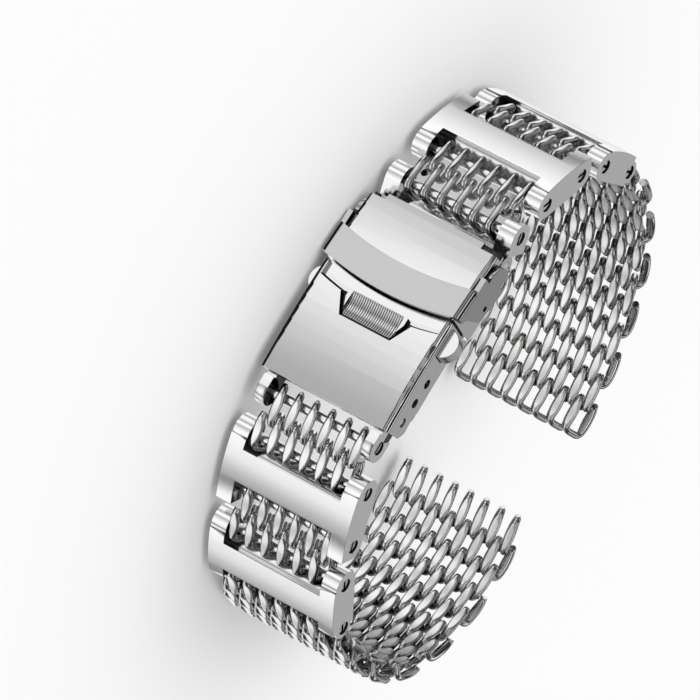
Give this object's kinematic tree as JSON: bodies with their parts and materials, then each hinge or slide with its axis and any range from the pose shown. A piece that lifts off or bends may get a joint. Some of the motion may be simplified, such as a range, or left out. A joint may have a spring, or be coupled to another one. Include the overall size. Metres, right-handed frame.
{
  "type": "milanese mesh bracelet",
  "caption": "Steel watch bracelet of interlinked wire spirals, with riveted H-shaped links and an adjustable fold-over clasp with side buttons and a safety flap.",
  "frame": {"origin": "middle of the bounding box of the closed bracelet, on the plane it rests on; the bracelet lies on one side edge", "axes": "+X across the ring from the clasp's hood end towards its adjusting end, +Y from the clasp towards the strap's free ends, +Z across the strap's width, away from the surface it lies on"},
  "size_m": [0.0836, 0.0634, 0.0252],
  "materials": {
    "satin_steel": "satin, brushed along the strap",
    "polished_steel": "polished",
    "mesh_wire": "bright drawn wire, lightly ground on the outer side",
    "pin_steel": "turned",
    "spring_steel": "plain rolled"
  },
  "bodies": {
    "clasp_cover": {"cover": "satin_steel", "thumb_plate": "satin_steel", "cover_pin": "pin_steel", "button_spring": "spring_steel"},
    "middle_blade": {"middle_blade": "satin_steel"},
    "inner_blade": {"inner_blade": "satin_steel", "end_hood": "satin_steel", "blade_pin": "pin_steel"},
    "safety_flap": {"safety_flap": "satin_steel", "flap_pins": "pin_steel"},
    "button_near": {"button_near": "satin_steel"},
    "button_far": {"button_far": "satin_steel"},
    "lower_half_link": {"lower_half_link": "polished_steel", "lower_half_rods": "pin_steel"},
    "lower_coil_1": {"lower_coil_1": "mesh_wire"},
    "lower_coil_2": {"lower_coil_2": "mesh_wire"},
    "lower_link_1": {"lower_link_1": "polished_steel", "lower_rods_1": "pin_steel"},
    "lower_coil_3": {"lower_coil_3": "mesh_wire"},
    "lower_coil_4": {"lower_coil_4": "mesh_wire"},
    "lower_link_2": {"lower_link_2": "polished_steel", "lower_rods_2": "pin_steel"},
    "lower_coil_5": {"lower_coil_5": "mesh_wire"},
    "lower_row_1": {"lower_row_1": "mesh_wire"},
    "lower_row_2": {"lower_row_2": "mesh_wire"},
    "lower_row_3": {"lower_row_3": "mesh_wire"},
    "lower_row_4": {"lower_row_4": "mesh_wire"},
    "lower_row_5": {"lower_row_5": "mesh_wire"},
    "lower_row_6": {"lower_row_6": "mesh_wire"},
    "lower_row_7": {"lower_row_7": "mesh_wire"},
    "lower_row_8": {"lower_row_8": "mesh_wire"},
    "lower_row_9": {"lower_row_9": "mesh_wire"},
    "lower_row_10": {"lower_row_10": "mesh_wire"},
    "lower_row_11": {"lower_row_11": "mesh_wire"},
    "lower_row_12": {"lower_row_12": "mesh_wire"},
    "lower_row_13": {"lower_row_13": "mesh_wire"},
    "lower_row_14": {"lower_row_14": "mesh_wire"},
    "upper_half_link": {"upper_half_link": "polished_steel", "upper_half_rods": "pin_steel"},
    "upper_coil_1": {"upper_coil_1": "mesh_wire"},
    "upper_coil_2": {"upper_coil_2": "mesh_wire"},
    "upper_link_1": {"upper_link_1": "polished_steel", "upper_rods_1": "pin_steel"},
    "upper_coil_3": {"upper_coil_3": "mesh_wire"},
    "upper_coil_4": {"upper_coil_4": "mesh_wire"},
    "upper_link_2": {"upper_link_2": "polished_steel", "upper_rods_2": "pin_steel"},
    "upper_coil_5": {"upper_coil_5": "mesh_wire"},
    "upper_row_1": {"upper_row_1": "mesh_wire"},
    "upper_row_2": {"upper_row_2": "mesh_wire"},
    "upper_row_3": {"upper_row_3": "mesh_wire"},
    "upper_row_4": {"upper_row_4": "mesh_wire"},
    "upper_row_5": {"upper_row_5": "mesh_wire"},
    "upper_row_6": {"upper_row_6": "mesh_wire"},
    "upper_row_7": {"upper_row_7": "mesh_wire"},
    "upper_row_8": {"upper_row_8": "mesh_wire"},
    "upper_row_9": {"upper_row_9": "mesh_wire"},
    "upper_row_10": {"upper_row_10": "mesh_wire"},
    "upper_row_11": {"upper_row_11": "mesh_wire"},
    "upper_row_12": {"upper_row_12": "mesh_wire"}
  },
  "joints": [
    {"name": "clasp_fold", "type": "hinge", "parent": "clasp_cover", "child": "middle_blade", "pos_m": [-0.00522, -0.02531, 0.0122], "axis": [0, 0, 1], "range_deg": [0, 165]},
    {"name": "blade_unfold", "type": "hinge", "parent": "middle_blade", "child": "inner_blade", "pos_m": [0.00494, -0.02466, 0.0122], "axis": [0, 0, -1], "range_deg": [0, 165]},
    {"name": "flap_lift", "type": "hinge", "parent": "inner_blade", "child": "safety_flap", "pos_m": [-0.01693, -0.02152, 0.0122], "axis": [0, 0, -1], "range_deg": [0, 80]},
    {"name": "press_near", "type": "slide", "parent": "clasp_cover", "child": "button_near", "axis": [0, 0, -1], "range_m": [0, 0.0008], "stiffness_N_per_m": 300, "springref_m": -0.0002},
    {"name": "press_far", "type": "slide", "parent": "clasp_cover", "child": "button_far", "axis": [0, 0, 1], "range_m": [-0.0008, 0], "stiffness_N_per_m": 100, "springref_m": -0.0012},
    {"name": "lower_half_hinge", "type": "hinge", "parent": "clasp_cover", "child": "lower_half_link", "pos_m": [0.00631, -0.02832, 0.0122], "axis": [0, 0, 1], "range_deg": [-4, 14]},
    {"name": "lower_coil_1_hinge", "type": "hinge", "parent": "lower_half_link", "child": "lower_coil_1", "pos_m": [0.01099, -0.02914, 0.0122], "axis": [0, 0, -1], "range_deg": [-12, 48]},
    {"name": "lower_coil_2_hinge", "type": "hinge", "parent": "lower_coil_1", "child": "lower_coil_2", "pos_m": [0.01425, -0.02869, 0.0122], "axis": [0, 0, 1], "range_deg": [-36, 14]},
    {"name": "lower_link_1_hinge", "type": "hinge", "parent": "lower_coil_2", "child": "lower_link_1", "pos_m": [0.01737, -0.02761, 0.0122], "axis": [0, 0, -1], "range_deg": [-22, 38]},
    {"name": "lower_coil_3_hinge", "type": "hinge", "parent": "lower_link_1", "child": "lower_coil_3", "pos_m": [0.02486, -0.0238, 0.0122], "axis": [0, 0, 1], "range_deg": [-35, 25]},
    {"name": "lower_coil_4_hinge", "type": "hinge", "parent": "lower_coil_3", "child": "lower_coil_4", "pos_m": [0.02766, -0.02205, 0.0122], "axis": [0, 0, -1], "range_deg": [-20, 30]},
    {"name": "lower_link_2_hinge", "type": "hinge", "parent": "lower_coil_4", "child": "lower_link_2", "pos_m": [0.03029, -0.02006, 0.0122], "axis": [0, 0, 1], "range_deg": [-40, 20]},
    {"name": "lower_coil_5_hinge", "type": "hinge", "parent": "lower_link_2", "child": "lower_coil_5", "pos_m": [0.03602, -0.01392, 0.0122], "axis": [0, 0, -1], "range_deg": [-15, 45]},
    {"name": "lower_row_1_hinge", "type": "hinge", "parent": "lower_coil_5", "child": "lower_row_1", "pos_m": [0.03757, -0.01101, 0.0122], "axis": [0, 0, 1], "range_deg": [-37, 13]},
    {"name": "lower_row_2_hinge", "type": "hinge", "parent": "lower_row_1", "child": "lower_row_2", "pos_m": [0.03867, -0.00716, 0.0122], "axis": [0, 0, -1], "range_deg": [-20, 30]},
    {"name": "lower_row_3_hinge", "type": "hinge", "parent": "lower_row_2", "child": "lower_row_3", "pos_m": [0.03944, -0.00323, 0.0122], "axis": [0, 0, 1], "range_deg": [-30, 20]},
    {"name": "lower_row_4_hinge", "type": "hinge", "parent": "lower_row_3", "child": "lower_row_4", "pos_m": [0.03985, 0.00074, 0.0122], "axis": [0, 0, -1], "range_deg": [-20, 30]},
    {"name": "lower_row_5_hinge", "type": "hinge", "parent": "lower_row_4", "child": "lower_row_5", "pos_m": [0.03992, 0.00474, 0.0122], "axis": [0, 0, 1], "range_deg": [-30, 20]},
    {"name": "lower_row_6_hinge", "type": "hinge", "parent": "lower_row_5", "child": "lower_row_6", "pos_m": [0.03964, 0.00873, 0.0122], "axis": [0, 0, -1], "range_deg": [-14, 35]},
    {"name": "lower_row_7_hinge", "type": "hinge", "parent": "lower_row_6", "child": "lower_row_7", "pos_m": [0.03864, 0.01261, 0.0122], "axis": [0, 0, 1], "range_deg": [-35, 14]},
    {"name": "lower_row_8_hinge", "type": "hinge", "parent": "lower_row_7", "child": "lower_row_8", "pos_m": [0.03695, 0.01623, 0.0122], "axis": [0, 0, -1], "range_deg": [-14, 35]},
    {"name": "lower_row_9_hinge", "type": "hinge", "parent": "lower_row_8", "child": "lower_row_9", "pos_m": [0.03463, 0.01949, 0.0122], "axis": [0, 0, 1], "range_deg": [-35, 14]},
    {"name": "lower_row_10_hinge", "type": "hinge", "parent": "lower_row_9", "child": "lower_row_10", "pos_m": [0.03175, 0.02227, 0.0122], "axis": [0, 0, -1], "range_deg": [-14, 35]},
    {"name": "lower_row_11_hinge", "type": "hinge", "parent": "lower_row_10", "child": "lower_row_11", "pos_m": [0.02842, 0.02447, 0.0122], "axis": [0, 0, 1], "range_deg": [-35, 14]},
    {"name": "lower_row_12_hinge", "type": "hinge", "parent": "lower_row_11", "child": "lower_row_12", "pos_m": [0.02473, 0.02604, 0.0122], "axis": [0, 0, -1], "range_deg": [-14, 35]},
    {"name": "lower_row_13_hinge", "type": "hinge", "parent": "lower_row_12", "child": "lower_row_13", "pos_m": [0.02083, 0.0269, 0.0122], "axis": [0, 0, 1], "range_deg": [-35, 14]},
    {"name": "lower_row_14_hinge", "type": "hinge", "parent": "lower_row_13", "child": "lower_row_14", "pos_m": [0.01683, 0.02704, 0.0122], "axis": [0, 0, -1], "range_deg": [-14, 35]},
    {"name": "upper_half_hinge", "type": "hinge", "parent": "inner_blade", "child": "upper_half_link", "pos_m": [-0.01942, -0.01963, 0.0122], "axis": [0, 0, 1], "range_deg": [-60, 5]},
    {"name": "upper_coil_1_hinge", "type": "hinge", "parent": "upper_half_link", "child": "upper_coil_1", "pos_m": [-0.02379, -0.02149, 0.0122], "axis": [0, 0, -1], "range_deg": [-60, 12]},
    {"name": "upper_coil_2_hinge", "type": "hinge", "parent": "upper_coil_1", "child": "upper_coil_2", "pos_m": [-0.02689, -0.02036, 0.0122], "axis": [0, 0, 1], "range_deg": [-13, 37]},
    {"name": "upper_link_1_hinge", "type": "hinge", "parent": "upper_coil_2", "child": "upper_link_1", "pos_m": [-0.02969, -0.01861, 0.0122], "axis": [0, 0, -1], "range_deg": [-43, 17]},
    {"name": "upper_coil_3_hinge", "type": "hinge", "parent": "upper_link_1", "child": "upper_coil_3", "pos_m": [-0.03563, -0.01267, 0.0122], "axis": [0, 0, 1], "range_deg": [-15, 45]},
    {"name": "upper_coil_4_hinge", "type": "hinge", "parent": "upper_coil_3", "child": "upper_coil_4", "pos_m": [-0.03728, -0.00981, 0.0122], "axis": [0, 0, -1], "range_deg": [-35, 15]},
    {"name": "upper_link_2_hinge", "type": "hinge", "parent": "upper_coil_4", "child": "upper_link_2", "pos_m": [-0.03841, -0.00671, 0.0122], "axis": [0, 0, 1], "range_deg": [-17, 43]},
    {"name": "upper_coil_5_hinge", "type": "hinge", "parent": "upper_link_2", "child": "upper_coil_5", "pos_m": [-0.03943, 0.00163, 0.0122], "axis": [0, 0, -1], "range_deg": [-45, 15]},
    {"name": "upper_row_1_hinge", "type": "hinge", "parent": "upper_coil_5", "child": "upper_row_1", "pos_m": [-0.03897, 0.00489, 0.0122], "axis": [0, 0, 1], "range_deg": [-19, 31]},
    {"name": "upper_row_2_hinge", "type": "hinge", "parent": "upper_row_1", "child": "upper_row_2", "pos_m": [-0.03801, 0.00877, 0.0122], "axis": [0, 0, -1], "range_deg": [-33, 17]},
    {"name": "upper_row_3_hinge", "type": "hinge", "parent": "upper_row_2", "child": "upper_row_3", "pos_m": [-0.03651, 0.01248, 0.0122], "axis": [0, 0, 1], "range_deg": [-17, 33]},
    {"name": "upper_row_4_hinge", "type": "hinge", "parent": "upper_row_3", "child": "upper_row_4", "pos_m": [-0.03451, 0.01595, 0.0122], "axis": [0, 0, -1], "range_deg": [-33, 17]},
    {"name": "upper_row_5_hinge", "type": "hinge", "parent": "upper_row_4", "child": "upper_row_5", "pos_m": [-0.03204, 0.0191, 0.0122], "axis": [0, 0, 1], "range_deg": [-17, 33]},
    {"name": "upper_row_6_hinge", "type": "hinge", "parent": "upper_row_5", "child": "upper_row_6", "pos_m": [-0.02917, 0.02188, 0.0122], "axis": [0, 0, -1], "range_deg": [-33, 17]},
    {"name": "upper_row_7_hinge", "type": "hinge", "parent": "upper_row_6", "child": "upper_row_7", "pos_m": [-0.02593, 0.02423, 0.0122], "axis": [0, 0, 1], "range_deg": [-18, 31]},
    {"name": "upper_row_8_hinge", "type": "hinge", "parent": "upper_row_7", "child": "upper_row_8", "pos_m": [-0.02245, 0.0262, 0.0122], "axis": [0, 0, -1], "range_deg": [-31, 18]},
    {"name": "upper_row_9_hinge", "type": "hinge", "parent": "upper_row_8", "child": "upper_row_9", "pos_m": [-0.01877, 0.02776, 0.0122], "axis": [0, 0, 1], "range_deg": [-18, 31]},
    {"name": "upper_row_10_hinge", "type": "hinge", "parent": "upper_row_9", "child": "upper_row_10", "pos_m": [-0.01493, 0.0289, 0.0122], "axis": [0, 0, -1], "range_deg": [-31, 18]},
    {"name": "upper_row_11_hinge", "type": "hinge", "parent": "upper_row_10", "child": "upper_row_11", "pos_m": [-0.01099, 0.02959, 0.0122], "axis": [0, 0, 1], "range_deg": [-18, 31]},
    {"name": "upper_row_12_hinge", "type": "hinge", "parent": "upper_row_11", "child": "upper_row_12", "pos_m": [-0.007, 0.02984, 0.0122], "axis": [0, 0, -1], "range_deg": [-31, 18]}
  ],
  "couplings": [
    {"joint": "blade_unfold", "follows": "clasp_fold", "ratio": 1}
  ]
}
